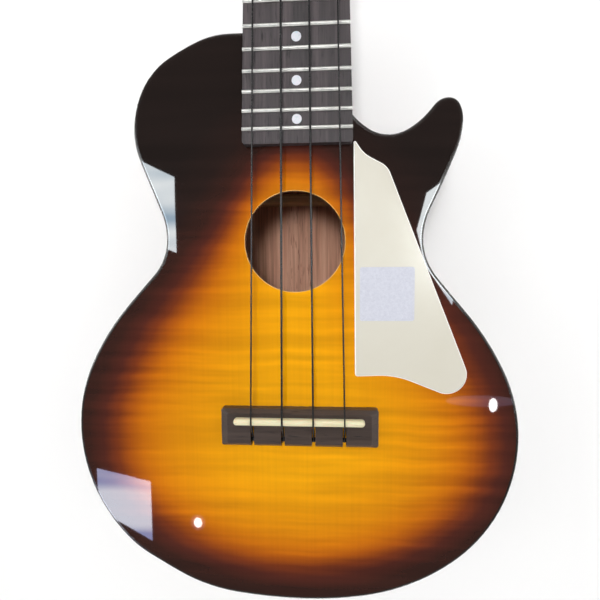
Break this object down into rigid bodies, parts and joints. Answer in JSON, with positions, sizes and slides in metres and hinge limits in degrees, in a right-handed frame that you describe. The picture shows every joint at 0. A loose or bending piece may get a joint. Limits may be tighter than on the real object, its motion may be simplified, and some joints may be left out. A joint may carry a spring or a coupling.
{
  "type": "ukulele",
  "caption": "Single-cutaway concert ukulele with a hollow body, round soundhole, slotted bridge, pickguard and geared tuners whose buttons turn the string posts.",
  "frame": {"origin": "on the flat back face, under the point where the string centreline crosses the theoretical saddle end of the scale", "axes": "+Z out of the soundboard, +Y along the strings towards the headstock, +X to the treble side"},
  "size_m": [0.2044, 0.5996, 0.0707],
  "materials": {
    "burst_top": "gloss lacquer",
    "dark_mahogany": "gloss lacquer",
    "raw_mahogany": "raw",
    "raw_spruce": "raw",
    "binding": "polished",
    "fingerboard_wood": "oiled",
    "bridge_wood": "oiled",
    "fret_metal": "polished",
    "pearl": "polished",
    "bone": "polished",
    "pickguard": "polished",
    "label_paper": "matt",
    "nylon": "smooth",
    "head_veneer": "gloss lacquer",
    "nickel": "polished",
    "button_plastic": "polished"
  },
  "bodies": {
    "instrument": {"soundboard": "burst_top", "back_plate": "dark_mahogany", "side_rim": "dark_mahogany", "top_binding": "binding", "top_lining": "raw_mahogany", "back_lining": "raw_mahogany", "neck_block": "raw_mahogany", "tail_block": "raw_mahogany", "neck_dowels": "raw_spruce", "top_cross_braces": "raw_spruce", "fan_braces": "raw_spruce", "bridge_plate": "raw_mahogany", "back_braces": "raw_spruce", "back_centre_strip": "raw_mahogany", "neck": "dark_mahogany", "heel_cap": "binding", "headstock_overlay": "head_veneer", "fretboard": "fingerboard_wood", "frets": "fret_metal", "fret_markers": "pearl", "side_markers": "pearl", "nut": "bone", "bridge": "bridge_wood", "saddle": "bone", "pickguard": "pickguard", "blank_label": "label_paper", "tuner_plates": "nickel", "plate_screws": "nickel", "post_bushings": "nickel", "string_1": "nylon", "string_2": "nylon", "string_3": "nylon", "string_4": "nylon"},
    "post_body_1": {"tuner_post_1": "nickel", "tuner_gear_1": "nickel", "gear_screw_1": "nickel", "string_winding_1": "nylon"},
    "button_body_1": {"worm_shaft_1": "nickel", "tuner_button_1": "button_plastic"},
    "post_body_2": {"tuner_post_2": "nickel", "tuner_gear_2": "nickel", "gear_screw_2": "nickel", "string_winding_2": "nylon"},
    "button_body_2": {"worm_shaft_2": "nickel", "tuner_button_2": "button_plastic"},
    "post_body_3": {"tuner_post_3": "nickel", "tuner_gear_3": "nickel", "gear_screw_3": "nickel", "string_winding_3": "nylon"},
    "button_body_3": {"worm_shaft_3": "nickel", "tuner_button_3": "button_plastic"},
    "post_body_4": {"tuner_post_4": "nickel", "tuner_gear_4": "nickel", "gear_screw_4": "nickel", "string_winding_4": "nylon"},
    "button_body_4": {"worm_shaft_4": "nickel", "tuner_button_4": "button_plastic"}
  },
  "joints": [
    {"name": "button_turn_1", "type": "hinge", "parent": "instrument", "child": "button_body_1", "pos_m": [-0.019, 0.42442, 0.035], "axis": [1, 0, 0], "continuous": true},
    {"name": "post_turn_1", "type": "hinge", "parent": "instrument", "child": "post_body_1", "pos_m": [-0.019, 0.42167, 0.0521], "axis": [0, 0.2079, 0.9781], "continuous": true},
    {"name": "button_turn_2", "type": "hinge", "parent": "instrument", "child": "button_body_2", "pos_m": [-0.019, 0.47333, 0.02461], "axis": [1, 0, 0], "continuous": true},
    {"name": "post_turn_2", "type": "hinge", "parent": "instrument", "child": "post_body_2", "pos_m": [-0.019, 0.47058, 0.0417], "axis": [0, 0.2079, 0.9781], "continuous": true},
    {"name": "button_turn_3", "type": "hinge", "parent": "instrument", "child": "button_body_3", "pos_m": [0.019, 0.47333, 0.02461], "axis": [1, 0, 0], "continuous": true},
    {"name": "post_turn_3", "type": "hinge", "parent": "instrument", "child": "post_body_3", "pos_m": [0.019, 0.47058, 0.0417], "axis": [0, 0.2079, 0.9781], "continuous": true},
    {"name": "button_turn_4", "type": "hinge", "parent": "instrument", "child": "button_body_4", "pos_m": [0.019, 0.42442, 0.035], "axis": [1, 0, 0], "continuous": true},
    {"name": "post_turn_4", "type": "hinge", "parent": "instrument", "child": "post_body_4", "pos_m": [0.019, 0.42167, 0.0521], "axis": [0, 0.2079, 0.9781], "continuous": true}
  ],
  "couplings": [
    {"joint": "button_turn_1", "follows": "post_turn_1", "ratio": 14},
    {"joint": "button_turn_2", "follows": "post_turn_2", "ratio": 14},
    {"joint": "button_turn_3", "follows": "post_turn_3", "ratio": 14},
    {"joint": "button_turn_4", "follows": "post_turn_4", "ratio": 14}
  ]
}
